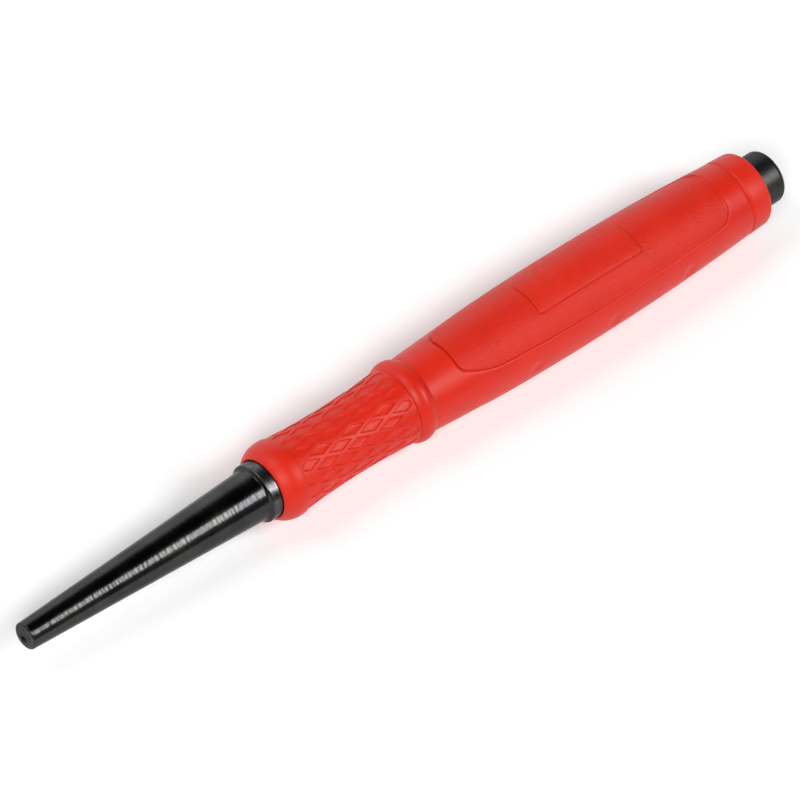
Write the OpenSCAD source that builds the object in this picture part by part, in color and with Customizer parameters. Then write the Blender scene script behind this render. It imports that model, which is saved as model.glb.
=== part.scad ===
// Nail setter: a hardened steel punch with a moulded grip, lying along X with its tip toward -X.
// The origin is under the middle of the tool, on the surface that it lies on.

/* [Steel punch] */
// Diameter of the flat rim at the tip
tip_face_dia = 3.4; // [2.8:0.05:3.45]
// Diameter of the tip behind its chamfer
tip_dia = 3.75; // [3.5:0.05:4.5]
// Length of the chamfer at the tip
tip_chamfer = 0.15; // [0.1:0.05:0.6]
// Diameter of the cup that centres the tip on a nail head
cup_dia = 2.1; // [1.5:0.05:2.4]
// Depth of that cup
cup_depth = 0.5; // [0.2:0.05:0.9]
// Length from the tip's rim to the foot of the shoulder
taper_length = 37.6; // [30:0.1:45]
// Diameter of the taper at the foot of the shoulder
taper_dia = 7.1; // [6.2:0.05:7.3]
// Length of the conical shoulder
shoulder_length = 0.3; // [0.2:0.05:1.2]
// Diameter of the collar behind the shoulder
collar_dia = 8.06; // [7.8:0.02:8.3]
// Length of collar that shows ahead of the grip
collar_show = 1.55; // [0.5:0.05:2]
// Length of collar seated inside the nose of the grip
collar_seat = 1.2; // [1:0.1:2]
// Diameter of the relieved shank that the grip is moulded on
shank_dia = 7; // [6.6:0.02:7.2]
// Diameter of the striking head
head_dia = 7.38; // [7.3:0.02:8]
// Length of the striking head behind the grip
head_length = 4.2; // [3:0.05:8]
// Radius of the rounded rim of the striking face
head_edge_r = 0.9; // [0.3:0.05:1.4]

/* [Nose of the grip] */
// Diameter of the nose at its front lip
lip_dia = 8.6; // [8.5:0.05:9.2]
// Largest diameter of the nose
nose_dia = 10.76; // [10.5:0.02:11.2]
// Length of the rounded front of the nose
nose_round = 2.15; // [1.8:0.05:2.5]
// Length of the whole nose
nose_length = 3; // [2.8:0.05:5]
// Width of the bevel on the rear edge of the nose
nose_bevel = 0.12; // [0.05:0.01:0.18]

/* [Patterned waist] */
// Length of the waist
waist_length = 18.8; // [15:0.1:24]
// Diameter of the waist where it is narrowest
waist_dia = 9.67; // [9.4:0.01:10]
// Diameter of the waist at both ends
waist_end_dia = 10.44; // [10.2:0.02:10.6]
// Number of diamonds round the waist
diamonds_around = 16; // [12:1:20]
// Number of diamonds along the waist in the even columns
diamonds_along = 3; // [1:2:5]
// Width of the ribs between the diamonds
rib_width = 0.5; // [0.35:0.01:0.7]
// Depth of the diamonds below the ribs
diamond_depth = 0.15; // [0.08:0.01:0.2]

/* [Ring] */
// Length of the raised ring between the waist and the barrel
ring_length = 2.75; // [2.4:0.05:3]
// Diameter of the ring at its crest
ring_dia = 11.52; // [11.4:0.02:12]
// Distance from the front of the ring to its crest
ring_crest = 1.55; // [1.3:0.05:1.7]
// Radius of the ring's rounded section
ring_round_r = 2; // [1.8:0.05:2.4]

/* [Barrel] */
// Length of the barrel
barrel_length = 55.25; // [53:0.05:65]
// Diameter of the barrel where it leaves the ring
barrel_front_dia = 10.52; // [10.4:0.02:10.8]
// Diameter of the barrel at its crest
barrel_dia = 12.54; // [12.2:0.02:13]
// Distance from the front of the barrel to its crest
barrel_crest = 28.5; // [26:0.1:31]
// Number of shallow scoops along each side
scoop_count = 3; // [1:1:3]
// Distance from the front of the barrel to the first scoop
scoop_first = 16.6; // [10:0.1:20]
// Distance from one scoop to the next
scoop_pitch = 13.5; // [8:0.1:15]
// Diameter of a scoop
scoop_dia = 3.4; // [2:0.1:3.6]
// Depth of a scoop
scoop_depth = 0.22; // [0.06:0.01:0.3]

/* [End ring] */
// Width of the fine groove between the barrel and the end ring
end_groove_width = 0.3; // [0.2:0.01:0.5]
// Depth of that groove
end_groove_depth = 0.14; // [0.06:0.01:0.25]
// Length of the end ring
end_ring_length = 3.55; // [2.5:0.05:6]
// Diameter of the end ring at the groove
end_ring_dia = 10.78; // [10.4:0.02:11]
// Diameter of the end ring at the back of the grip
end_ring_rear_dia = 10.5; // [10:0.02:10.7]
// Radius of the rounded edge at the back of the grip
end_edge_r = 0.5; // [0.2:0.05:1]

/* [Panels] */
// Distance from the front of the barrel to the panels
panel_front = 5.15; // [3.5:0.05:6.5]
// Length of a panel
panel_length = 46.6; // [42:0.05:47]
// Half of the width of a panel where it is widest
panel_half_width = 5.3; // [4.8:0.02:5.4]
// Distance from the front of a panel to its widest place
panel_widest = 27.85; // [24:0.05:30]
// Radius of the bowed sides of a panel
panel_side_r = 350; // [300:5:450]
// Length of the rounded shoulders at the front of a panel
panel_shoulder = 6.5; // [5.5:0.1:7]
// Radius of those shoulders
panel_shoulder_r = 16; // [14:0.5:18]
// Radius of the front corners of a panel
panel_front_r = 0.9; // [0.5:0.05:1.5]
// Radius of the rear corners of a panel
panel_rear_r = 0.9; // [0.6:0.05:2]
// Thickness of a panel
panel_wall = 0.9; // [0.6:0.05:1.2]
// Height of a panel's crest above the crest of the barrel
panel_lift = 0.03; // [0.01:0.01:0.1]
// Distance that a panel's crest lies ahead of the crest of the barrel
panel_lead = 3; // [1:0.1:4]
// Width of the fine seam round a panel
seam_width = 0.12; // [0.08:0.01:0.25]
// Depth of that seam
seam_depth = 0.18; // [0.1:0.01:0.3]

/* [Bare recess] */
// Length of the bare recess in the upper panel
recess_length = 17.9; // [10:0.1:24]
// Width of the recess
recess_width = 5.06; // [3:0.02:6]
// Distance from the front of the panel to the middle of the recess
recess_middle = 23.1; // [18:0.1:27]
// Radius of the corners of the recess
recess_corner_r = 0.8; // [0.3:0.05:1.4]
// Depth of the recess
recess_depth = 0.15; // [0.08:0.01:0.3]

/* [Fits] */
// Radial gap round the collar in the nose
lip_gap = 0.12; // [0.08:0.01:0.2]
// Clearance where a moulded piece is bonded to its seat
bond_gap = 0.02; // [0.01:0.005:0.04]
// Wall of the grip between the shank and the seat of the waist
core_wall = 0.7; // [0.5:0.02:0.8]

/* [Hidden] */

$fn = 96;
// Sides of the circle that hollows the waist
waist_fn = 256;
// Steps along the barrel, and along a corner, a shoulder and a side of a panel's outline
bulge_steps = 18;
corner_steps = 8;
shoulder_steps = 10;
side_steps = 20;
// How far a cut runs past the surface that it cuts
overrun = 1;

steel = "#2b2d30";
red = "#d92a1c";
red_panel = "#de3829";
red_band = "#d63022";

tip_face_r = tip_face_dia / 2;
tip_r = tip_dia / 2;
taper_r = taper_dia / 2;
collar_r = collar_dia / 2;
shank_r = shank_dia / 2;
head_r = head_dia / 2;
lip_r = lip_dia / 2;
nose_r = nose_dia / 2;
waist_r = waist_dia / 2;
waist_end_r = waist_end_dia / 2;
ring_r = ring_dia / 2;
barrel_front_r = barrel_front_dia / 2;
barrel_r = barrel_dia / 2;
end_ring_r = end_ring_dia / 2;
end_ring_rear_r = end_ring_rear_dia / 2;
seat_r = shank_r + core_wall;

// Places along the tool, from the tip
shoulder_end = taper_length + shoulder_length;
nose_front = shoulder_end + collar_show;
collar_end = nose_front + collar_seat;
waist_front = nose_front + nose_length;
waist_rear = waist_front + waist_length;
barrel_front = waist_rear + ring_length;
end_ring_front = barrel_front + barrel_length;
grip_rear = end_ring_front + end_ring_length;
overall_length = grip_rear + head_length;
waist_middle = waist_front + waist_length / 2;
barrel_crest_at = barrel_front + barrel_crest;
panel_at = barrel_front + panel_front;
panel_crest_at = barrel_crest_at - panel_lead;

// Radius of an arc from half of its chord and its rise
function arc_r(half_chord, rise) = (half_chord * half_chord + rise * rise) / (2 * rise);

cup_r = arc_r(cup_dia / 2, cup_depth);
nose_round_r = arc_r(nose_round, nose_r - lip_r);
waist_arc_r = arc_r(waist_length / 2, waist_end_r - waist_r);
barrel_arc_r = arc_r(barrel_crest, barrel_r - barrel_front_r);
scoop_r = arc_r(scoop_dia / 2, scoop_depth);
panel_crest_r = barrel_r + panel_lift;
axis_height = panel_crest_r;

// Height above the axis of the ledge that carries a panel's edges
ledge = sqrt(barrel_r * barrel_r - panel_half_width * panel_half_width) - panel_wall;

// Radius of the waist at a distance from its middle, and the slope of its surface there
function waist_r_at(along) = waist_r + waist_arc_r - sqrt(waist_arc_r * waist_arc_r - along * along);
function waist_slope(along) = asin(along / waist_arc_r);

// Radius of the barrel at a place along the tool
function barrel_r_at(place) = barrel_r - barrel_arc_r
    + sqrt(barrel_arc_r * barrel_arc_r - pow(place - barrel_crest_at, 2));

// Lays a shape that stands on the revolving axis along the tool
module along_tool() {
    translate([-overall_length / 2, 0, axis_height]) rotate([0, 90, 0]) children();
}

// Places a shape drawn in plan, measured from the tip and from the axis
module in_plan() {
    translate([-overall_length / 2, 0, axis_height]) children();
}

// Section of a band along the tool, from the axis out to a radius
module band(from, to, radius) {
    translate([0, from]) square([radius, to - from]);
}

// Section of a rounded length, under an arc with its crest at a place and a radius from the axis
module bead(from, to, crest_at, crest_r, round_r) {
    intersection() {
        band(from, to, crest_r + overrun);
        translate([crest_r - round_r, crest_at]) circle(r = round_r);
    }
}

// The same under an arc far wider than the tool, in short steps along it
module bulge(from, to, crest_at, crest_r, round_r) {
    along = [for (i = [0:bulge_steps]) from + (to - from) * i / bulge_steps];
    edge = [
        for (a = along) [crest_r - round_r + sqrt(round_r * round_r - pow(a - crest_at, 2)), a]
    ];
    polygon(concat([[0, from]], edge, [[0, to]]));
}

module punch_section() {
    head_front = grip_rear + bond_gap;
    rim = overall_length - head_edge_r;
    polygon([
        [0, 0], [tip_face_r, 0], [tip_r, tip_chamfer], [taper_r, taper_length],
        [collar_r, shoulder_end], [collar_r, collar_end], [shank_r, collar_end],
        [shank_r, head_front], [head_r, head_front], [head_r, rim], [0, rim]
    ]);
    band(rim - head_edge_r, overall_length, head_r - head_edge_r);
    translate([head_r - head_edge_r, rim]) circle(r = head_edge_r);
}

module punch() {
    color(steel) along_tool() difference() {
        rotate_extrude() punch_section();
        translate([0, 0, cup_depth - cup_r]) sphere(r = cup_r);
    }
}

module nose_section() {
    bead(nose_front, nose_front + nose_round, nose_front + nose_round, nose_r, nose_round_r);
    polygon([
        [0, nose_front + nose_round], [nose_r, nose_front + nose_round],
        [nose_r, waist_front - nose_bevel], [nose_r - nose_bevel, waist_front], [0, waist_front]
    ]);
}

module end_ring_section() {
    groove_r = barrel_r_at(end_ring_front) - end_groove_depth;
    rim = grip_rear - end_edge_r;
    band(end_ring_front - end_groove_width, end_ring_front, groove_r);
    polygon([
        [0, end_ring_front], [end_ring_r, end_ring_front], [end_ring_rear_r, rim], [0, rim]
    ]);
    band(rim - end_edge_r, grip_rear, end_ring_rear_r - end_edge_r);
    translate([end_ring_rear_r - end_edge_r, rim]) circle(r = end_edge_r);
}

module grip_section() {
    difference() {
        union() {
            band(nose_front, grip_rear - end_edge_r, seat_r);
            nose_section();
            bead(waist_rear, barrel_front, waist_rear + ring_crest, ring_r, ring_round_r);
            bulge(barrel_front, end_ring_front - end_groove_width, barrel_crest_at, barrel_r, barrel_arc_r);
            end_ring_section();
        }
        band(nose_front - overrun, grip_rear + overrun, shank_r + bond_gap);
        band(nose_front - overrun, collar_end + bond_gap, collar_r + lip_gap);
    }
}

// Points along an arc, from one direction to another, less as many at its start as it skips
function arc(middle, radius, start, end, steps, skip = 0) = [
    for (i = [skip:steps]) let (a = start + (end - start) * i / steps) middle + radius * [cos(a), sin(a)]
];

// One side of a panel's outline in plan, from its front to its rear, made larger all round by grow.
// The side is one wide arc, a shoulder runs into it, and the corners round off the two ends.
function panel_side(grow) =
    let (
        side = [panel_widest, panel_half_width - panel_side_r],
        side_r = panel_side_r + grow,
        shoulder_r = panel_shoulder_r + grow,
        front_r = panel_front_r + grow,
        rear_r = panel_rear_r + grow,
        turn = 90 + asin((panel_widest - panel_shoulder) / panel_side_r),
        shoulder = side + (side_r - shoulder_r) * [cos(turn), sin(turn)],
        front_x = panel_front_r,
        front = [front_x, shoulder[1] + sqrt(pow(shoulder_r - front_r, 2) - pow(front_x - shoulder[0], 2))],
        front_turn = atan2(front[1] - shoulder[1], front[0] - shoulder[0]),
        rear_x = panel_length - panel_rear_r,
        rear = [rear_x, side[1] + sqrt(pow(side_r - rear_r, 2) - pow(rear_x - side[0], 2))],
        rear_turn = atan2(rear[1] - side[1], rear[0] - side[0])
    )
    concat(
        arc(front, front_r, 180, front_turn, corner_steps),
        arc(shoulder, shoulder_r, front_turn, turn, shoulder_steps, 1),
        arc(side, side_r, turn, rear_turn, side_steps, 1),
        arc(rear, rear_r, rear_turn, 0, corner_steps, 1)
    );

module panel_outline(grow) {
    side = panel_side(grow);
    other = [for (i = [len(side) - 1:-1:0]) [side[i][0], -side[i][1]]];
    translate([panel_at, 0]) polygon(concat(side, other));
}

// The upper part of a panel's outline, from its ledge out past the barrel
module panel_prism(grow) {
    in_plan() translate([0, 0, ledge - grow])
        linear_extrude(barrel_r + overrun - ledge + grow) panel_outline(grow);
}

// The round body under the outer face of a panel, made smaller by a depth
module panel_core(depth) {
    along_tool() rotate_extrude()
        bulge(barrel_front, end_ring_front, panel_crest_at, panel_crest_r - depth, barrel_arc_r - depth);
}

// The round body of the barrel, made smaller by a depth
module barrel_core(depth) {
    along_tool() rotate_extrude()
        bulge(barrel_front, end_ring_front, barrel_crest_at, barrel_r - depth, barrel_arc_r - depth);
}

// Seat of the upper panel with the fine seam round it
module panel_seat() {
    difference() {
        panel_prism(bond_gap);
        panel_core(panel_wall + bond_gap);
    }
    difference() {
        panel_prism(seam_width);
        barrel_core(seam_depth);
    }
}

module panel() {
    difference() {
        intersection() {
            panel_prism(0);
            panel_core(0);
        }
        panel_core(panel_wall);
    }
}

// Turns what is made for the upper side to the lower side
module to_lower_side() {
    translate([0, 0, axis_height]) mirror([0, 0, 1]) translate([0, 0, -axis_height]) children();
}

module scoops() {
    in_plan() for (side = [-1, 1], i = [0:scoop_count - 1]) {
        place = barrel_front + scoop_first + i * scoop_pitch;
        translate([place, side * (barrel_r_at(place) - scoop_depth + scoop_r), 0]) sphere(r = scoop_r);
    }
}

module grip_body() {
    color(red) difference() {
        along_tool() rotate_extrude() grip_section();
        panel_seat();
        to_lower_side() panel_seat();
        scoops();
    }
}

// Diamonds of the lattice: their lengths along and round the waist between the middles of the ribs
diamond_length = waist_length / (diamonds_along + 1 / 2);
diamond_width = PI * waist_dia / diamonds_around;
diamond_inset = diamond_length * diamond_width / (2 * norm([diamond_length, diamond_width]));
diamond_open_share = 1 - rib_width / 2 / diamond_inset;

// One flat-floored diamond, square to the surface of the waist at a distance from its middle
module diamond(along, turn) {
    half_length = diamond_length * diamond_open_share / 2;
    half_width = diamond_width * diamond_open_share / 2;
    rotate([0, 0, turn]) translate([waist_r_at(along), 0, waist_middle + along])
        rotate([0, 90 + waist_slope(along), 0]) translate([0, 0, -diamond_depth])
            linear_extrude(diamond_depth + overrun)
                polygon([[half_length, 0], [0, half_width], [-half_length, 0], [0, -half_width]]);
}

module waist_band() {
    reach = (diamonds_along - 1) / 2;
    step = 360 / diamonds_around;
    color(red_band) along_tool() difference() {
        rotate_extrude() difference() {
            band(waist_front + bond_gap, waist_rear - bond_gap, waist_end_r);
            band(waist_front, waist_rear, seat_r + bond_gap);
            translate([waist_r + waist_arc_r, waist_middle]) circle(r = waist_arc_r, $fn = waist_fn);
        }
        for (i = [0:diamonds_around - 1]) {
            for (j = [-reach:reach]) diamond(j * diamond_length, i * step);
            for (j = [-reach - 1 / 2:reach + 1 / 2]) diamond(j * diamond_length, (i + 1 / 2) * step);
        }
    }
}

module recess_outline() {
    half = [recess_length / 2 - recess_corner_r, recess_width / 2 - recess_corner_r];
    corners = [[1, 1], [-1, 1], [-1, -1], [1, -1]];
    points = [
        for (i = [0:3]) let (c = [corners[i][0] * half[0], corners[i][1] * half[1]])
            each arc(c, recess_corner_r, 90 * i, 90 * (i + 1), corner_steps)
    ];
    translate([panel_at + recess_middle, 0]) polygon(points);
}

module upper_panel() {
    color(red_panel) difference() {
        panel();
        difference() {
            in_plan() translate([0, 0, ledge])
                linear_extrude(barrel_r + overrun - ledge) recess_outline();
            panel_core(recess_depth);
        }
    }
}

module lower_panel() {
    color(red_panel) to_lower_side() panel();
}

punch();
grip_body();
waist_band();
upper_panel();
lower_panel();
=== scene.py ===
import math

import bmesh
import bpy
from mathutils import Matrix, Vector


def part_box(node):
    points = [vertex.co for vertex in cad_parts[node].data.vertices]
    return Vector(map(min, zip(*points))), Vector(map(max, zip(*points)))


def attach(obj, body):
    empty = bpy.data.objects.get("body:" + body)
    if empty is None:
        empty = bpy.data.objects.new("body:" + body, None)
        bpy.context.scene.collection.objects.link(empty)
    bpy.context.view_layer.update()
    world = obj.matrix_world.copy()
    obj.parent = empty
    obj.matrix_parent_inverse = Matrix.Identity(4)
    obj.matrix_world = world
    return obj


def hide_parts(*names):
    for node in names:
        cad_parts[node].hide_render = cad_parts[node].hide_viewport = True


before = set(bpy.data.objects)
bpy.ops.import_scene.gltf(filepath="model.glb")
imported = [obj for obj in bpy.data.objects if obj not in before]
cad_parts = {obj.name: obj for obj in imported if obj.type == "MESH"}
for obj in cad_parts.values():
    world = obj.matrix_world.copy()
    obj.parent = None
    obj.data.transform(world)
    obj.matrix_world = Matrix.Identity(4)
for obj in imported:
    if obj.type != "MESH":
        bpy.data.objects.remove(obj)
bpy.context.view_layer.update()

mm = 0.001
fullTurn = 2 * math.pi
scene = bpy.context.scene

# places along the tool, read from the solids
punchLow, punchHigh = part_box("punch")
gripLow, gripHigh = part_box("grip_body")
waistLow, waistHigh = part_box("waist_band")
panelLow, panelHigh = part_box("upper_panel")
axisZ = (punchLow.z + punchHigh.z) / 2
tipX = punchLow.x
headX = punchHigh.x
noseX = gripLow.x - 0.4 * mm
gripEndX = gripHigh.x + 0.1 * mm
waistMidX = (waistLow.x + waistHigh.x) / 2
waistLength = waistHigh.x - waistLow.x
panelX = panelLow.x
panelLength = panelHigh.x - panelLow.x
panelHalf = panelHigh.y + 0.1 * mm
barrelR = gripHigh.y


# small helpers

def arcR(halfChord, rise):  # radius of an arc from half its chord and its rise
    return (halfChord ** 2 + rise ** 2) / (2 * rise)


def arcPoints(middleX, middleR, radius, start, end, steps):  # section points, angles in degrees from +X
    turns = [math.radians(start + (end - start) * i / steps) for i in range(steps + 1)]
    return [(middleX + radius * math.cos(a), middleR + radius * math.sin(a)) for a in turns]


def spread(start, end, step):  # even places from start up to end, the end left out
    count = max(1, round((end - start) / step))
    return [start + (end - start) * i / count for i in range(count)]


def angleOf(co):  # turn round the tool from straight up
    return math.atan2(co.y, co.z - axisZ)


def radiusOf(co):
    return math.hypot(co.y, co.z - axisZ)


def placeAt(vert, turn, radius):
    vert.co.y = radius * math.sin(turn)
    vert.co.z = axisZ + radius * math.cos(turn)


def lathe(bm, section, steps, closed=False):  # a section of (x, r) points, spun round the tool's axis
    verts = [bm.verts.new((x, 0, axisZ + r)) for x, r in section]
    ends = verts[1:] + verts[:1] if closed else verts[1:]
    edges = [bm.edges.new(pair) for pair in zip(verts, ends)]
    bmesh.ops.spin(bm, geom=verts + edges, cent=(0, 0, axisZ), axis=(1, 0, 0), angle=fullTurn,
                   steps=steps, use_merge=True)
    bmesh.ops.remove_doubles(bm, verts=bm.verts, dist=0.0005 * mm)
    bmesh.ops.recalc_face_normals(bm, faces=bm.faces)


def ringEdges(bm, places):  # edges that run round the tool at given (x, r) places
    reach = 0.004 * mm
    picked = []
    for edge in bm.edges:
        a, b = edge.verts
        if abs(a.co.x - b.co.x) < reach and any(
                abs(a.co.x - x) < reach and abs(radiusOf(a.co) - r) < reach and abs(radiusOf(b.co) - r) < reach
                for x, r in places):
            picked.append(edge)
    return picked


def soften(bm, edges, width, segments=3):
    bmesh.ops.bevel(bm, geom=edges, offset=width, offset_type="OFFSET", segments=segments, profile=0.5,
                    affect="EDGES", clamp_overlap=True, material=-1)


def sink(bm, faces, depth, keepTop=False):  # lets a patch of faces into the surface and gives back its floor
    made = bmesh.ops.extrude_face_region(bm, geom=faces)["geom"]
    for v in made:
        if isinstance(v, bmesh.types.BMVert):
            placeAt(v, angleOf(v.co), radiusOf(v.co) - depth)
    if not keepTop:
        bmesh.ops.delete(bm, geom=[f for f in faces if f.is_valid], context="FACES")
    return [f for f in made if isinstance(f, bmesh.types.BMFace)]


def rimOf(faces):  # edges where a patch of faces ends
    inside = set(faces)
    return list({e for f in faces for e in f.edges if sum(g in inside for g in e.link_faces) == 1})


def finishPiece(name, bm, node, material, sharpAngle=50):
    mesh = bpy.data.meshes.new(name)
    bm.to_mesh(mesh)
    bm.free()
    mesh.shade_smooth()
    mesh.set_sharp_from_angle(angle=math.radians(sharpAngle))
    mesh.materials.append(material)
    piece = bpy.data.objects.new(name, mesh)
    scene.collection.objects.link(piece)
    even = piece.modifiers.new("evenShading", "WEIGHTED_NORMAL")
    even.keep_sharp = True
    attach(piece, "root")
    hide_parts(node)
    print("piece", name, len(mesh.vertices), "vertices")


# shader helpers

def newMaterial(name):
    material = bpy.data.materials.new(name)
    material.use_nodes = True
    nodes = material.node_tree.nodes
    return material, nodes, material.node_tree.links, nodes["Principled BSDF"]


def addNode(nodes, kind, **values):
    node = nodes.new(kind)
    for key, value in values.items():
        if hasattr(node, key):
            setattr(node, key, value)
        else:
            node.inputs[key.replace("_", " ")].default_value = value
    return node


def ramp(nodes, stops):
    node = nodes.new("ShaderNodeValToRGB")
    bar = node.color_ramp
    while len(bar.elements) < len(stops):
        bar.elements.new(0.5)
    for element, (place, colour) in zip(bar.elements, stops):
        element.position = place
        element.color = (*colour, 1) if len(colour) == 3 else colour
    return node


def newGroup(name, inputs, outputs):
    group = bpy.data.node_groups.new(name, "ShaderNodeTree")
    for socket, value in inputs.items():
        made = group.interface.new_socket(socket, in_out="INPUT", socket_type="NodeSocketFloat")
        made.default_value = value
    for socket in outputs:
        group.interface.new_socket(socket, in_out="OUTPUT", socket_type="NodeSocketFloat")
    return group, group.nodes.new("NodeGroupInput"), group.nodes.new("NodeGroupOutput")


# moulded grain, used by every red moulding: a height for the bump and a slow tone

def makeMouldGrain():
    group, given, out = newGroup("mouldGrain", {"Grain Scale": 3000, "Grain Depth": 1, "Flow Scale": 90},
                                 ["Height", "Tone"])
    nodes, links = group.nodes, group.links
    coords = nodes.new("ShaderNodeTexCoord")
    fine = addNode(nodes, "ShaderNodeTexNoise", Detail=3.0, Roughness=0.65)
    cells = addNode(nodes, "ShaderNodeTexVoronoi", feature="SMOOTH_F1", Smoothness=0.6)
    slow = addNode(nodes, "ShaderNodeTexNoise", Detail=4.0, Roughness=0.55, Distortion=0.4)
    links.new(coords.outputs["Object"], fine.inputs["Vector"])
    links.new(coords.outputs["Object"], cells.inputs["Vector"])
    links.new(coords.outputs["Object"], slow.inputs["Vector"])
    links.new(given.outputs["Grain Scale"], fine.inputs["Scale"])
    links.new(given.outputs["Grain Scale"], cells.inputs["Scale"])
    links.new(given.outputs["Flow Scale"], slow.inputs["Scale"])
    both = addNode(nodes, "ShaderNodeMath", operation="ADD")
    links.new(fine.outputs["Fac"], both.inputs[0])
    links.new(cells.outputs["Distance"], both.inputs[1])
    deep = addNode(nodes, "ShaderNodeMath", operation="MULTIPLY")
    links.new(both.outputs[0], deep.inputs[0])
    links.new(given.outputs["Grain Depth"], deep.inputs[1])
    links.new(deep.outputs[0], out.inputs["Height"])
    links.new(slow.outputs["Fac"], out.inputs["Tone"])
    return group


# handling marks: thin pale rubs and specks, used by the steel and by the mouldings

def makeRubMarks():
    group, given, out = newGroup("rubMarks", {"Mark Scale": 700, "Stretch": 0.12, "Amount": 0.5}, ["Marks"])
    nodes, links = group.nodes, group.links
    coords = nodes.new("ShaderNodeTexCoord")
    slim = nodes.new("ShaderNodeCombineXYZ")
    slim.inputs["Y"].default_value = 1
    slim.inputs["Z"].default_value = 1
    links.new(given.outputs["Stretch"], slim.inputs["X"])
    drawn = addNode(nodes, "ShaderNodeVectorMath", operation="MULTIPLY")
    links.new(coords.outputs["Object"], drawn.inputs[0])
    links.new(slim.outputs[0], drawn.inputs[1])
    streaks = addNode(nodes, "ShaderNodeTexNoise", Detail=6.0, Roughness=0.7)
    links.new(drawn.outputs[0], streaks.inputs["Vector"])
    links.new(given.outputs["Mark Scale"], streaks.inputs["Scale"])
    above = addNode(nodes, "ShaderNodeMapRange", From_Min=0.58, From_Max=0.74)
    links.new(streaks.outputs["Fac"], above.inputs["Value"])
    amount = addNode(nodes, "ShaderNodeMath", operation="MULTIPLY")
    links.new(above.outputs[0], amount.inputs[0])
    links.new(given.outputs["Amount"], amount.inputs[1])
    links.new(amount.outputs[0], out.inputs["Marks"])
    return group


mouldGrain = makeMouldGrain()
rubMarks = makeRubMarks()


def redMoulding(name, look):
    material, nodes, links, shader = newMaterial(name)
    grain = addNode(nodes, "ShaderNodeGroup", node_tree=mouldGrain)
    grain.inputs["Grain Scale"].default_value = look["grainScale"]
    grain.inputs["Flow Scale"].default_value = look["flowScale"]
    marks = addNode(nodes, "ShaderNodeGroup", node_tree=rubMarks)
    marks.inputs["Mark Scale"].default_value = look["markScale"]
    marks.inputs["Amount"].default_value = look["markAmount"]
    tones = ramp(nodes, [(0.3, look["deep"]), (0.7, look["light"])])
    links.new(grain.outputs["Tone"], tones.inputs["Fac"])
    rubbed = addNode(nodes, "ShaderNodeMix", data_type="RGBA")
    links.new(marks.outputs["Marks"], rubbed.inputs["Factor"])
    links.new(tones.outputs["Color"], rubbed.inputs["A"])
    rubbed.inputs["B"].default_value = (*look["rubbed"], 1)
    links.new(rubbed.outputs["Result"], shader.inputs["Base Color"])
    rough = addNode(nodes, "ShaderNodeMapRange", From_Min=0.3, From_Max=0.7)
    rough.inputs["To Min"].default_value = look["roughness"] - look["roughSwing"]
    rough.inputs["To Max"].default_value = look["roughness"] + look["roughSwing"]
    links.new(grain.outputs["Tone"], rough.inputs["Value"])
    links.new(rough.outputs[0], shader.inputs["Roughness"])
    bump = addNode(nodes, "ShaderNodeBump", Strength=look["bump"], Distance=look["bumpDepth"])
    links.new(grain.outputs["Height"], bump.inputs["Height"])
    links.new(bump.outputs["Normal"], shader.inputs["Normal"])
    shader.inputs["IOR"].default_value = look["ior"]
    return material


bodyLook = dict(deep=(0.55, 0.014, 0.004), light=(0.62, 0.019, 0.006), rubbed=(0.66, 0.044, 0.024), grainScale=2600,
                flowScale=110, markScale=650, markAmount=0.25, roughness=0.42, roughSwing=0.05, bump=0.10,
                bumpDepth=0.03 * mm, ior=1.33)
panelLook = dict(bodyLook, grainScale=4200, flowScale=140, roughness=0.48, roughSwing=0.05, bump=0.9,
                 bumpDepth=0.055 * mm)
bandLook = dict(bodyLook, grainScale=4200, roughness=0.40, bump=0.4, bumpDepth=0.04 * mm)
redBody = redMoulding("redBody", bodyLook)
redPanel = redMoulding("redPanel", panelLook)
redBand = redMoulding("redBand", bandLook)


# black oxide steel: dark, with fine turning lines round the axis and worn, paler patches

steelLook = dict(dark=(0.040, 0.040, 0.042), worn=(0.066, 0.064, 0.057), bare=(0.12, 0.12, 0.123),
                 edge=(0.70, 0.70, 0.72), roughness=0.20, roughSwing=0.04, lineScale=2800, lineRound=0.2,
                 lineStrength=1.0, lineDepth=0.03 * mm, patchScale=260, speckScale=1400, collarFrom=37.56 * mm,
                 collarTo=41 * mm, collarDull=0.1, headDull=0.2, markAmount=0.5)


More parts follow.
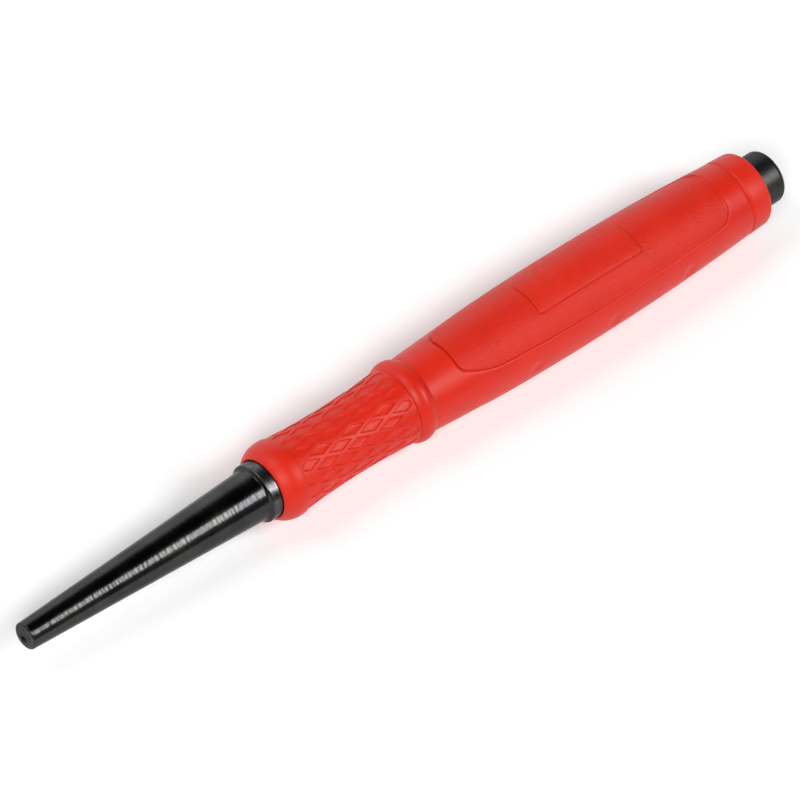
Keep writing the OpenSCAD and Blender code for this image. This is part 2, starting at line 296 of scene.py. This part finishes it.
def blackSteel():
    look = steelLook
    material, nodes, links, shader = newMaterial("blackSteel")
    coords = nodes.new("ShaderNodeTexCoord")
    patches = addNode(nodes, "ShaderNodeTexNoise", Scale=look["patchScale"], Detail=6.0, Roughness=0.6)
    links.new(coords.outputs["Object"], patches.inputs["Vector"])
    specks = addNode(nodes, "ShaderNodeTexNoise", Scale=look["speckScale"], Detail=5.0, Roughness=0.7)
    links.new(coords.outputs["Object"], specks.inputs["Vector"])
    place = nodes.new("ShaderNodeSeparateXYZ")  # where the collar starts, its oxide is rubbed thin
    links.new(coords.outputs["Object"], place.inputs[0])
    collar = addNode(nodes, "ShaderNodeMapRange")
    collar.inputs["From Min"].default_value = tipX + look["collarFrom"]
    collar.inputs["From Max"].default_value = tipX + look["collarFrom"] + 0.1 * mm
    links.new(place.outputs["X"], collar.inputs["Value"])
    ended = addNode(nodes, "ShaderNodeMath", operation="LESS_THAN")
    ended.inputs[1].default_value = tipX + look["collarTo"]
    links.new(place.outputs["X"], ended.inputs[0])
    bare = addNode(nodes, "ShaderNodeMath", operation="MULTIPLY")
    links.new(collar.outputs[0], bare.inputs[0])
    links.new(ended.outputs[0], bare.inputs[1])
    blotch = addNode(nodes, "ShaderNodeMapRange", From_Min=0.35, From_Max=0.65)
    links.new(specks.outputs["Fac"], blotch.inputs["Value"])
    thin = addNode(nodes, "ShaderNodeMath", operation="MULTIPLY")
    links.new(bare.outputs[0], thin.inputs[0])
    links.new(blotch.outputs[0], thin.inputs[1])
    marks = addNode(nodes, "ShaderNodeGroup", node_tree=rubMarks)
    marks.inputs["Amount"].default_value = look["markAmount"]
    tones = ramp(nodes, [(0.42, look["dark"]), (0.78, look["worn"])])
    links.new(patches.outputs["Fac"], tones.inputs["Fac"])
    rubbed = addNode(nodes, "ShaderNodeMix", data_type="RGBA")
    links.new(marks.outputs["Marks"], rubbed.inputs["Factor"])
    links.new(tones.outputs["Color"], rubbed.inputs["A"])
    rubbed.inputs["B"].default_value = (*look["worn"], 1)
    bright = addNode(nodes, "ShaderNodeMix", data_type="RGBA")
    links.new(thin.outputs[0], bright.inputs["Factor"])
    links.new(rubbed.outputs["Result"], bright.inputs["A"])
    bright.inputs["B"].default_value = (*look["bare"], 1)
    links.new(bright.outputs["Result"], shader.inputs["Base Color"])
    rough = addNode(nodes, "ShaderNodeMapRange", From_Min=0.3, From_Max=0.7)
    rough.inputs["To Min"].default_value = look["roughness"] - look["roughSwing"]
    rough.inputs["To Max"].default_value = look["roughness"] + look["roughSwing"]
    links.new(patches.outputs["Fac"], rough.inputs["Value"])
    dull = addNode(nodes, "ShaderNodeMath", operation="MULTIPLY_ADD")
    dull.inputs[1].default_value = look["collarDull"]
    links.new(bare.outputs[0], dull.inputs[0])
    links.new(rough.outputs[0], dull.inputs[2])
    behind = addNode(nodes, "ShaderNodeMath", operation="GREATER_THAN")  # the struck head is duller too
    behind.inputs[1].default_value = gripEndX
    links.new(place.outputs["X"], behind.inputs[0])
    struck = addNode(nodes, "ShaderNodeMath", operation="MULTIPLY_ADD")
    struck.inputs[1].default_value = look["headDull"]
    links.new(behind.outputs[0], struck.inputs[0])
    links.new(dull.outputs[0], struck.inputs[2])
    links.new(struck.outputs[0], shader.inputs["Roughness"])
    squeeze = addNode(nodes, "ShaderNodeVectorMath", operation="MULTIPLY")
    squeeze.inputs[1].default_value = (1, look["lineRound"], look["lineRound"])
    links.new(coords.outputs["Object"], squeeze.inputs[0])
    lines = addNode(nodes, "ShaderNodeTexNoise", Scale=look["lineScale"], Detail=3.0)
    links.new(squeeze.outputs[0], lines.inputs["Vector"])
    bump = addNode(nodes, "ShaderNodeBump", Strength=look["lineStrength"], Distance=look["lineDepth"])
    links.new(lines.outputs["Fac"], bump.inputs["Height"])
    links.new(bump.outputs["Normal"], shader.inputs["Normal"])
    shader.inputs["Metallic"].default_value = 1
    shader.inputs["Specular Tint"].default_value = (*look["edge"], 1)
    return material


steel = blackSteel()
print("materials made")


# the steel punch

punchShape = dict(faceR=1.7 * mm, tipR=1.875 * mm, chamfer=0.15 * mm, cupR=1.05 * mm, cupDepth=0.5 * mm,
                  taperLength=37.3 * mm, taperR=3.53 * mm, shoulder=0.3 * mm, collarR=4.03 * mm,
                  collarLength=2.65 * mm, shankR=3.5 * mm, headR=3.69 * mm, headGap=0.02 * mm, headEdge=0.9 * mm,
                  edgeSoft=0.07 * mm, footSoft=0.1 * mm, collarSoft=0.13 * mm, around=128)


def makePunch():
    s = punchShape
    cupR = arcR(s["cupR"], s["cupDepth"])
    reach = math.degrees(math.asin(s["cupR"] / cupR))
    cup = arcPoints(tipX + s["cupDepth"] - cupR, 0, cupR, 0, reach, 6)
    shoulderX = tipX + s["taperLength"] + s["shoulder"]
    collarX = shoulderX + s["collarLength"]
    headFront = gripEndX + s["headGap"]
    point = [(tipX, s["faceR"]), (tipX + s["chamfer"], s["tipR"])]
    foot = (tipX + s["taperLength"], s["taperR"])
    edge = (shoulderX, s["collarR"])
    shank = [(collarX, s["collarR"]), (collarX, s["shankR"]), (headFront, s["shankR"]), (headFront, s["headR"])]
    rim = arcPoints(headX - s["headEdge"], s["headR"] - s["headEdge"], s["headEdge"], 90, 0, 8)
    bm = bmesh.new()
    lathe(bm, cup + point + [foot, edge] + shank + rim + [(headX, 0)], s["around"])
    soften(bm, ringEdges(bm, point + [cup[-1]]), s["edgeSoft"])
    soften(bm, ringEdges(bm, [foot]), s["footSoft"])
    soften(bm, ringEdges(bm, [edge]), s["collarSoft"], 4)
    finishPiece("steel_punch", bm, "punch", steel)


makePunch()


# outline of a panel in plan: a wide bowed side, a shoulder at the front and rounded corners

panelShape = dict(widest=25 * mm, sideR=300 * mm, shoulder=6.5 * mm, shoulderR=16 * mm, frontR=1.2 * mm,
                  rearR=2 * mm, wall=0.9 * mm, lift=0.03 * mm, lead=3 * mm, seam=0.05 * mm, seamDepth=0.12 * mm,
                  rearGap=0.02 * mm, ledge=0.2 * mm, edgeSoft=0.16 * mm, seatSoft=0.07 * mm, seatDrop=0.07 * mm,
                  cornerSteps=9, step=0.45 * mm)
plateShape = dict(length=18.2 * mm, width=5.6 * mm, middle=22.9 * mm, corner=0.4 * mm, ease=6 * mm,
                  cornerRow=0.25 * mm, rowGap=0.12 * mm,
                  profile=[(0, 0), (0.05 * mm, -0.08 * mm), (0.1 * mm, -0.08 * mm), (0.16 * mm, 0.11 * mm),
                           (0.34 * mm, 0.16 * mm)])
barrelShape = dict(front=64.0 * mm, frontR=5.26 * mm, crest=92.5 * mm, rear=119.17 * mm, step=0.3 * mm, around=192,
                   ease=4 * mm)
crestX = tipX + barrelShape["crest"]
barrelArc = arcR(barrelShape["crest"] - barrelShape["front"], barrelR - barrelShape["frontR"])


def barrelRAt(x):
    return barrelR - barrelArc + math.sqrt(barrelArc ** 2 - (x - crestX) ** 2)


def panelRAt(x):
    top = barrelR + panelShape["lift"]
    return top - barrelArc + math.sqrt(barrelArc ** 2 - (x - crestX + panelShape["lead"]) ** 2)


class panelOutline:  # half width of the outline at a place along it, grown all round
    def __init__(self, grow, longer=0):
        p = panelShape
        self.grow = grow
        self.side = Vector((p["widest"], panelHalf - p["sideR"]))
        turn = math.asin((p["widest"] - p["shoulder"]) / p["sideR"])
        toShoulder = Vector((-math.sin(turn), math.cos(turn)))
        self.shoulder = self.side + (p["sideR"] - p["shoulderR"]) * toShoulder
        self.front = self.inside(self.shoulder, p["shoulderR"] - p["frontR"], p["frontR"])
        self.rear = self.inside(self.side, p["sideR"] - p["rearR"], panelLength + longer - p["rearR"])
        self.shoulderStart = (self.shoulder + (p["shoulderR"] + grow) * (self.front - self.shoulder).normalized()).x
        self.sideStart = (self.side + (p["sideR"] + grow) * toShoulder).x
        self.rearStart = (self.side + (p["sideR"] + grow) * (self.rear - self.side).normalized()).x

    def inside(self, middle, radius, place):
        return Vector((place, middle.y + math.sqrt(radius ** 2 - (place - middle.x) ** 2)))

    def halfWidth(self, place):
        p = panelShape
        if place < self.shoulderStart:
            middle, radius = self.front, p["frontR"]
        elif place < self.sideStart:
            middle, radius = self.shoulder, p["shoulderR"]
        elif place < self.rearStart:
            middle, radius = self.side, p["sideR"]
        else:
            middle, radius = self.rear, p["rearR"]
        rise = (radius + self.grow) ** 2 - (place - middle.x) ** 2
        return middle.y + math.sqrt(max(rise, 0))

    def inward(self, co):  # how far a point lies inside the outline
        place = co.x - panelX
        return min(place, panelLength - place, self.halfWidth(place) - abs(co.y))

    def places(self, step):  # places along the outline, close together round its corners
        p = panelShape
        count = p["cornerSteps"]
        firstTurn = math.acos((self.front.x - self.shoulderStart) / (p["frontR"] + self.grow))
        lastTurn = math.acos((self.rearStart - self.rear.x) / (p["rearR"] + self.grow))
        first = [self.front.x - (p["frontR"] + self.grow) * math.cos(firstTurn * i / count) for i in range(count)]
        last = [self.rear.x + (p["rearR"] + self.grow) * math.cos(lastTurn * i / count) for i in range(count, -1, -1)]
        return first + spread(self.shoulderStart, self.rearStart, step) + last


def slideColumns(verts, knots):  # moves columns of a spun mesh so that chosen turns follow an outline
    for v in verts:
        turn = angleOf(v.co)
        low = abs(turn) > math.pi / 2  # the lower half follows its own panel
        share = math.pi - abs(turn) if low else abs(turn)
        pairs = [(0, 0), *knots(v.co.x), (math.pi / 2, math.pi / 2)]
        for (a, b), (c, d) in zip(pairs, pairs[1:]):
            if share <= c + 1e-9:
                share = b + (d - b) * (share - a) / (c - a)
                break
        turned = math.pi - share if low else share
        placeAt(v, math.copysign(turned, turn), radiusOf(v.co))


panelColumn = math.radians(60)  # the column that follows a panel's edge
plateColumn = math.radians(22.5)  # and the first of those that follow the edge of the plate


# the grip's moulding: nose, ring, barrel with the panels' seats, groove and end ring

gripShape = dict(lipR=4.3 * mm, noseR=5.38 * mm, noseRound=2.55 * mm, noseEnd=42.45 * mm, noseBevel=0.12 * mm,
                 coreR=4.2 * mm, waistEnd=61.25 * mm, ringR=5.76 * mm, ringCrest=1.55 * mm, ringRound=2 * mm,
                 grooveDepth=0.3 * mm, endRing=119.32 * mm, endSlope=0.45 * mm, endRingR=5.39 * mm,
                 endRearR=5.25 * mm, endEdge=0.5 * mm, shankR=3.52 * mm, mouthR=4.15 * mm, mouthEnd=40.27 * mm,
                 edgeSoft=0.056 * mm, lipSoft=0.14 * mm, slopeSoft=0.12 * mm)
scoopShape = dict(first=80.6 * mm, pitch=13.5 * mm, count=3, dia=2.4 * mm, depth=0.2 * mm, edge=0.12 * mm)


def scoopDepth(x, turn):
    s = scoopShape
    radius = arcR(s["dia"] / 2, s["depth"])
    deepest = 0
    for i in range(s["count"]):
        along = x - tipX - s["first"] - i * s["pitch"]
        across = (math.pi / 2 - abs(turn)) * barrelR
        away = math.hypot(along, across)
        if away < s["dia"] / 2 + s["edge"]:
            depth = math.sqrt(radius ** 2 - away ** 2) - (radius - s["depth"])
            blend = s["edge"] / 4
            deepest = max(deepest, depth if depth > blend else blend * math.exp(depth / blend - 1))
    return deepest


def makeGrip():
    s, b = gripShape, barrelShape
    noseArc = arcR(s["noseRound"], s["noseR"] - s["lipR"])
    noseTurn = math.degrees(math.asin(s["noseRound"] / noseArc))
    nose = arcPoints(noseX + s["noseRound"], s["noseR"] - noseArc, noseArc, 90 + noseTurn, 90, 12)
    noseEndX = tipX + s["noseEnd"]
    ringX = tipX + s["waistEnd"]
    ringMid = ringX + s["ringCrest"]
    barrelX = tipX + b["front"]
    ringFrom = math.degrees(math.acos(-s["ringCrest"] / s["ringRound"]))
    ringTo = math.degrees(math.acos((barrelX - ringMid) / s["ringRound"]))
    ring = arcPoints(ringMid, s["ringR"] - s["ringRound"], s["ringRound"], ringFrom, ringTo, 14)
    outline = panelOutline(panelShape["seam"], panelShape["rearGap"])
    seats = [panelX + u for u in outline.places(b["step"])]
    rearX = tipX + b["rear"]
    endX = tipX + s["endRing"]
    along = spread(barrelX, seats[0], b["step"]) + seats[:-1] + spread(seats[-1], rearX, b["step"]) + [rearX]
    barrel = [(x, barrelRAt(x)) for x in along]
    grooveR = barrelRAt(endX) - s["grooveDepth"]
    endRim = arcPoints(gripEndX - s["endEdge"], s["endRearR"] - s["endEdge"], s["endEdge"], 90, 0, 7)
    section = nose + [(noseEndX - s["noseBevel"], s["noseR"]), (noseEndX, s["noseR"] - s["noseBevel"]),
                      (noseEndX, s["coreR"]), (ringX, s["coreR"])] + ring + barrel
    slopeTop = (endX + s["endSlope"], s["endRingR"])
    section += [(rearX, grooveR), (endX, grooveR), slopeTop] + endRim
    section += [(gripEndX, s["shankR"]), (tipX + s["mouthEnd"], s["shankR"]), (tipX + s["mouthEnd"], s["mouthR"]),
                (noseX, s["mouthR"])]
    bm = bmesh.new()
    lathe(bm, section, b["around"], closed=True)

    def inSeat(co):  # on the barrel's outer face and between the first and the last place of a panel
        return seats[0] - 1e-7 < co.x < seats[-1] + 1e-7 and radiusOf(co) > s["coreR"]

    upper, lower = [], []
    for f in bm.faces:
        middle = f.calc_center_median()
        if inSeat(middle):
            turn = abs(angleOf(middle))
            if turn < panelColumn:
                upper.append(f)
            elif turn > math.pi - panelColumn:
                lower.append(f)

    def knots(x):
        place = min(max(x, seats[0]), seats[-1])
        edge = math.asin(outline.halfWidth(place - panelX) / barrelRAt(place))
        away = min(1, abs(x - place) / b["ease"])  # ahead of and behind the panels the columns ease back
        return [(panelColumn, edge + (panelColumn - edge) * away)]

    outer = [v for v in bm.verts if barrelX - 1e-7 < v.co.x < rearX + 1e-7 and radiusOf(v.co) > s["coreR"] * 1.1]
    slideColumns(outer, knots)
    for v in outer:
        depth = scoopDepth(v.co.x, angleOf(v.co))
        if depth > 0:
            placeAt(v, angleOf(v.co), radiusOf(v.co) - depth)
    rims = []
    for seat in (upper, lower):
        rim = rimOf(seat)
        rims += rim
        for v in {v for e in rim for v in e.verts}:  # the moulding rolls down a little into the seat
            placeAt(v, angleOf(v.co), radiusOf(v.co) - panelShape["seatDrop"])
        floor = sink(bm, seat, panelShape["seamDepth"])
        deep = [f for f in floor if all(outline.inward(v.co) > panelShape["ledge"] for v in f.verts)]
        sink(bm, deep, panelShape["wall"] - panelShape["seamDepth"])
    soften(bm, rims, panelShape["seatSoft"])
    soften(bm, ringEdges(bm, [slopeTop]), s["slopeSoft"])
    creases = [(rearX, barrelRAt(rearX)), endRim[0],
               (noseEndX, s["noseR"] - s["noseBevel"]), (noseEndX - s["noseBevel"], s["noseR"])]
    soften(bm, ringEdges(bm, creases), s["edgeSoft"], 2)
    soften(bm, ringEdges(bm, [nose[0]]), s["lipSoft"])
    bmesh.ops.recalc_face_normals(bm, faces=bm.faces)
    finishPiece("grip_moulding", bm, "grip_body", redBody)


makeGrip()


# the two panels, let into the barrel

def makePanel(name, node, upper, hasPlate):
    p, r = panelShape, plateShape
    outline = panelOutline(0)
    places = outline.places(p["step"])
    insets = [d for d, _ in r["profile"]]

    def plateInset(co):  # how far a point lies inside the plate's rounded outline
        u = abs(co.x - panelX - r["middle"]) - r["length"] / 2 + r["corner"]
        v = abs(co.y) - r["width"] / 2 + r["corner"]
        return r["corner"] - math.hypot(max(u, 0), max(v, 0)) - min(max(u, v), 0)

    def plateRise(inset):
        for (a, low), (b, high) in zip(r["profile"], r["profile"][1:]):
            if inset < b:
                return low + (high - low) * max(0, inset - a) / (b - a)
        return r["profile"][-1][1]

    if hasPlate:
        ends = [r["middle"] + end * (r["length"] / 2 - d) for d in insets for end in (-1, 1)]
        corners = [r["middle"] + end * (r["length"] / 2 - r["cornerRow"]) for end in (-1, 1)]
        spare = [u for u in places if all(abs(u - e) > r["rowGap"] for e in ends)]
        places = sorted(spare + ends + corners)
    bm = bmesh.new()
    lathe(bm, [(panelX + u, panelRAt(panelX + u)) for u in places], barrelShape["around"])
    outside = [f for f in bm.faces if abs(angleOf(f.calc_center_median())) > panelColumn]
    bmesh.ops.delete(bm, geom=outside, context="FACES")

    def knots(x):
        u = x - panelX
        radius = panelRAt(x)
        edgeTurn = math.asin(min(1, outline.halfWidth(u) / radius))
        found = [(panelColumn, edgeTurn)]
        if hasPlate:
            beyond = max(0, abs(u - r["middle"]) - r["length"] / 2)
            near = max(0, 1 - beyond / r["ease"])  # away from the plate the columns are even again
            for i, d in enumerate(insets):
                turn = plateColumn - i * fullTurn / barrelShape["around"]
                even = edgeTurn * turn / panelColumn
                found.insert(0, (turn, even + (math.asin((r["width"] / 2 - d) / radius) - even) * near))
        return found

    slideColumns(bm.verts, knots)
    edge = [e for e in bm.edges if e.is_boundary]
    raised = [v for v in bm.verts if plateInset(v.co) > 0] if hasPlate else []
    sink(bm, list(bm.faces), p["wall"], keepTop=True)  # the underside
    soften(bm, edge, p["edgeSoft"], 4)
    bmesh.ops.recalc_face_normals(bm, faces=bm.faces)
    for v in raised:  # a fine groove round the plate, its wall and its gently sloped edge
        placeAt(v, angleOf(v.co), radiusOf(v.co) + plateRise(plateInset(v.co)))
    if not upper:
        bmesh.ops.rotate(bm, verts=bm.verts, cent=(0, 0, axisZ), matrix=Matrix.Rotation(math.pi, 3, "X"))
    finishPiece(name, bm, node, redPanel)


makePanel("top_panel", "upper_panel", True, True)
makePanel("under_panel", "lower_panel", False, False)


# the diamond band round the waist

bandShape = dict(waistR=4.835 * mm, endR=5.22 * mm, seatR=4.22 * mm, around=16, along=3, rib=0.46 * mm,
                 depth=0.18 * mm, draft=0.1 * mm, edgeSoft=0.05 * mm)


def makeBand():
    s = bandShape
    waistArc = arcR(waistLength / 2, s["endR"] - s["waistR"])
    length = waistLength / (s["along"] + 0.5)
    width = fullTurn * s["waistR"] / s["around"]
    reach = (s["along"] - 1) / 2
    bm = bmesh.new()
    columns = [(0, -reach - 1, s["along"] + 2), (0.5, -reach - 0.5, s["along"] + 1)]
    for shift, first, count in columns:
        for i in range(count):
            place = Matrix.Translation((waistMidX + (first + i) * length, shift * width, 0))
            bmesh.ops.create_circle(bm, cap_ends=True, segments=4, radius=1,
                                    matrix=place @ Matrix.Diagonal((length / 2, width / 2, 1, 1)))
    for end in (-1, 1):
        bmesh.ops.bisect_plane(bm, geom=list(bm.verts) + list(bm.edges) + list(bm.faces), dist=1e-8,
                               plane_co=(waistMidX + end * waistLength / 2, 0, 0), plane_no=(end, 0, 0),
                               clear_outer=True)
    bmesh.ops.remove_doubles(bm, verts=bm.verts, dist=0.001 * mm)
    bmesh.ops.recalc_face_normals(bm, faces=bm.faces)
    if sum(f.normal.z for f in bm.faces) < 0:
        bmesh.ops.reverse_faces(bm, faces=bm.faces)
    floors = [f for f in bm.faces if f.calc_area() > length * width / 8]  # the small end corners stay whole
    bmesh.ops.inset_individual(bm, faces=floors, thickness=s["rib"] / 2, use_even_offset=True)
    tops = rimOf(floors)
    bmesh.ops.inset_individual(bm, faces=floors, thickness=s["draft"], depth=-s["depth"], use_even_offset=True)
    feet = rimOf(floors)
    soften(bm, tops + feet, s["edgeSoft"], 2)
    bmesh.ops.triangulate(bm, faces=[f for f in bm.faces if len(f.verts) > 4])
    bmesh.ops.subdivide_edges(bm, edges=bm.edges, cuts=2, use_grid_fill=True)
    for v in bm.verts:
        along = v.co.x - waistMidX
        if v.co.z < -s["depth"] / 4:  # pocket floors are flat, so they rise a little towards their sides
            up, down = along / length + v.co.y / width, along / length - v.co.y / width
            across = v.co.y - (round(up) - round(down)) / 2 * width
            v.co.z += across ** 2 / (2 * s["waistR"]) * v.co.z / -s["depth"]
        radius = s["waistR"] + waistArc - math.sqrt(waistArc ** 2 - along ** 2) + v.co.z
        placeAt(v, v.co.y / s["waistR"], radius)
    bmesh.ops.spin(bm, geom=list(bm.verts) + list(bm.edges) + list(bm.faces), cent=(0, 0, axisZ), axis=(1, 0, 0),
                   angle=fullTurn, steps=s["around"], use_duplicate=True)
    bmesh.ops.remove_doubles(bm, verts=bm.verts, dist=0.003 * mm)
    for end in (-1, 1):
        edge = [e for e in bm.edges if e.is_boundary and (e.verts[0].co.x - waistMidX) * end > 0]
        made = bmesh.ops.extrude_edge_only(bm, edges=edge)["geom"]
        for v in made:
            if isinstance(v, bmesh.types.BMVert):
                placeAt(v, angleOf(v.co), s["seatR"])
    bmesh.ops.bridge_loops(bm, edges=[e for e in bm.edges if e.is_boundary])
    bmesh.ops.recalc_face_normals(bm, faces=bm.faces)
    finishPiece("diamond_band", bm, "waist_band", redBand, 35)


makeBand()


# floor, lights and camera

view = dict(angle=60.7, panelTurn=27, rise=31.89, distance=1100 * mm, lens=391.1, slideRight=-0.842 * mm,
            slideUp=-0.120 * mm)
alongTool = Vector((1, 0, 0))
facing = Vector((0, -math.sin(math.radians(view["panelTurn"])), math.cos(math.radians(view["panelTurn"]))))
lowerSide = alongTool.cross(facing)
toCamera = facing * math.sin(math.radians(view["angle"])) - alongTool * math.cos(math.radians(view["angle"]))
toHead = (alongTool - toCamera * alongTool.dot(toCamera)).normalized()
rise = math.radians(view["rise"])
right = toHead * math.cos(rise) + lowerSide * math.sin(rise)
up = toHead * math.sin(rise) - lowerSide * math.cos(rise)
middle = Vector((0, 0, axisZ)) + right * view["slideRight"] + up * view["slideUp"]


def makeCamera():
    data = bpy.data.cameras.new("studioCamera")
    data.lens = view["lens"]
    data.sensor_width = 36
    data.clip_start = 0.05
    data.clip_end = 20
    camera = bpy.data.objects.new("studioCamera", data)
    scene.collection.objects.link(camera)
    turn = Matrix((right, up, toCamera)).transposed().to_4x4()
    camera.matrix_world = Matrix.Translation(middle + toCamera * view["distance"]) @ turn
    scene.camera = camera


def areaLight(name, direction, distance, size, power):  # a soft rectangle, its long side along the tool
    data = bpy.data.lights.new(name, "AREA")
    data.shape = "RECTANGLE"
    data.size, data.size_y = size
    data.energy = power
    lamp = bpy.data.objects.new(name, data)
    scene.collection.objects.link(lamp)
    away = direction.normalized()
    longSide = (alongTool - away * alongTool.dot(away)).normalized()
    turn = Matrix((longSide, away.cross(longSide), away)).transposed().to_4x4()
    lamp.matrix_world = Matrix.Translation(Vector((0, 0, axisZ)) + away * distance) @ turn


roomLook = dict(light=1.4, ceiling=0.05, front=0.12, rear=0.15, left=0.25, floor=(0.86, 0.86, 0.86),
                floorGlow=0.10, floorSize=4)
lampLook = dict(stripBox=dict(direction=(0.46, -0.585, 0.66), distance=1.2, size=(0.30, 0.52), power=8.06),
                frontBox=dict(direction=(-0.6, -0.42, 0.68), distance=1.4, size=(0.6, 0.5), power=13),
                edgeBox=dict(direction=(-0.45, 0.33, 0.83), distance=1.4, size=(0.35, 0.5), power=4.5))


def makeRoom():  # a pale room with a dark ceiling, a little darker in front
    world = bpy.data.worlds.new("softRoom")
    world.use_nodes = True
    nodes, links = world.node_tree.nodes, world.node_tree.links
    coords = nodes.new("ShaderNodeTexCoord")
    axes = nodes.new("ShaderNodeSeparateXYZ")
    links.new(coords.outputs["Generated"], axes.inputs[0])
    height = addNode(nodes, "ShaderNodeMapRange", interpolation_type="SMOOTHSTEP", From_Min=0.52, From_Max=0.78)
    height.inputs["To Min"].default_value = roomLook["light"]
    height.inputs["To Max"].default_value = roomLook["ceiling"]
    links.new(axes.outputs["Z"], height.inputs["Value"])
    depth = addNode(nodes, "ShaderNodeMapRange", interpolation_type="SMOOTHSTEP", From_Min=-0.15, From_Max=0.6)
    depth.inputs["To Min"].default_value = roomLook["front"]
    depth.inputs["To Max"].default_value = 1
    links.new(axes.outputs["Y"], depth.inputs["Value"])
    rear = addNode(nodes, "ShaderNodeMapRange", interpolation_type="SMOOTHSTEP", From_Min=0.55, From_Max=0.85)
    rear.inputs["To Min"].default_value = 1
    rear.inputs["To Max"].default_value = roomLook["rear"]
    links.new(axes.outputs["X"], rear.inputs["Value"])
    left = addNode(nodes, "ShaderNodeMapRange", interpolation_type="SMOOTHSTEP", From_Min=-0.9, From_Max=-0.5)
    left.inputs["To Min"].default_value = roomLook["left"]
    left.inputs["To Max"].default_value = 1
    links.new(axes.outputs["X"], left.inputs["Value"])
    ends = addNode(nodes, "ShaderNodeMath", operation="MULTIPLY")
    links.new(rear.outputs[0], ends.inputs[0])
    links.new(left.outputs[0], ends.inputs[1])
    sides = addNode(nodes, "ShaderNodeMath", operation="MULTIPLY")
    links.new(depth.outputs[0], sides.inputs[0])
    links.new(ends.outputs[0], sides.inputs[1])
    both = addNode(nodes, "ShaderNodeMath", operation="MULTIPLY")
    links.new(height.outputs[0], both.inputs[0])
    links.new(sides.outputs[0], both.inputs[1])
    links.new(both.outputs[0], nodes["Background"].inputs["Strength"])
    nodes["Background"].inputs["Color"].default_value = (1, 1, 1, 1)
    scene.world = world


def makeStage():
    bm = bmesh.new()
    bmesh.ops.create_grid(bm, x_segments=1, y_segments=1, size=roomLook["floorSize"])
    mesh = bpy.data.meshes.new("studioFloor")
    bm.to_mesh(mesh)
    bm.free()
    material, _, _, shader = newMaterial("paleFloor")
    shader.inputs["Base Color"].default_value = (*roomLook["floor"], 1)
    shader.inputs["Roughness"].default_value = 0.9
    shader.inputs["Emission Color"].default_value = (1, 1, 1, 1)
    shader.inputs["Emission Strength"].default_value = roomLook["floorGlow"]
    mesh.materials.append(material)
    floor = bpy.data.objects.new("studioFloor", mesh)
    scene.collection.objects.link(floor)
    makeRoom()
    for name, lamp in lampLook.items():
        areaLight(name, Vector(lamp["direction"]), lamp["distance"], lamp["size"], lamp["power"])
    scene.view_settings.view_transform = "Standard"


makeCamera()
makeStage()
print("camera and lights set")
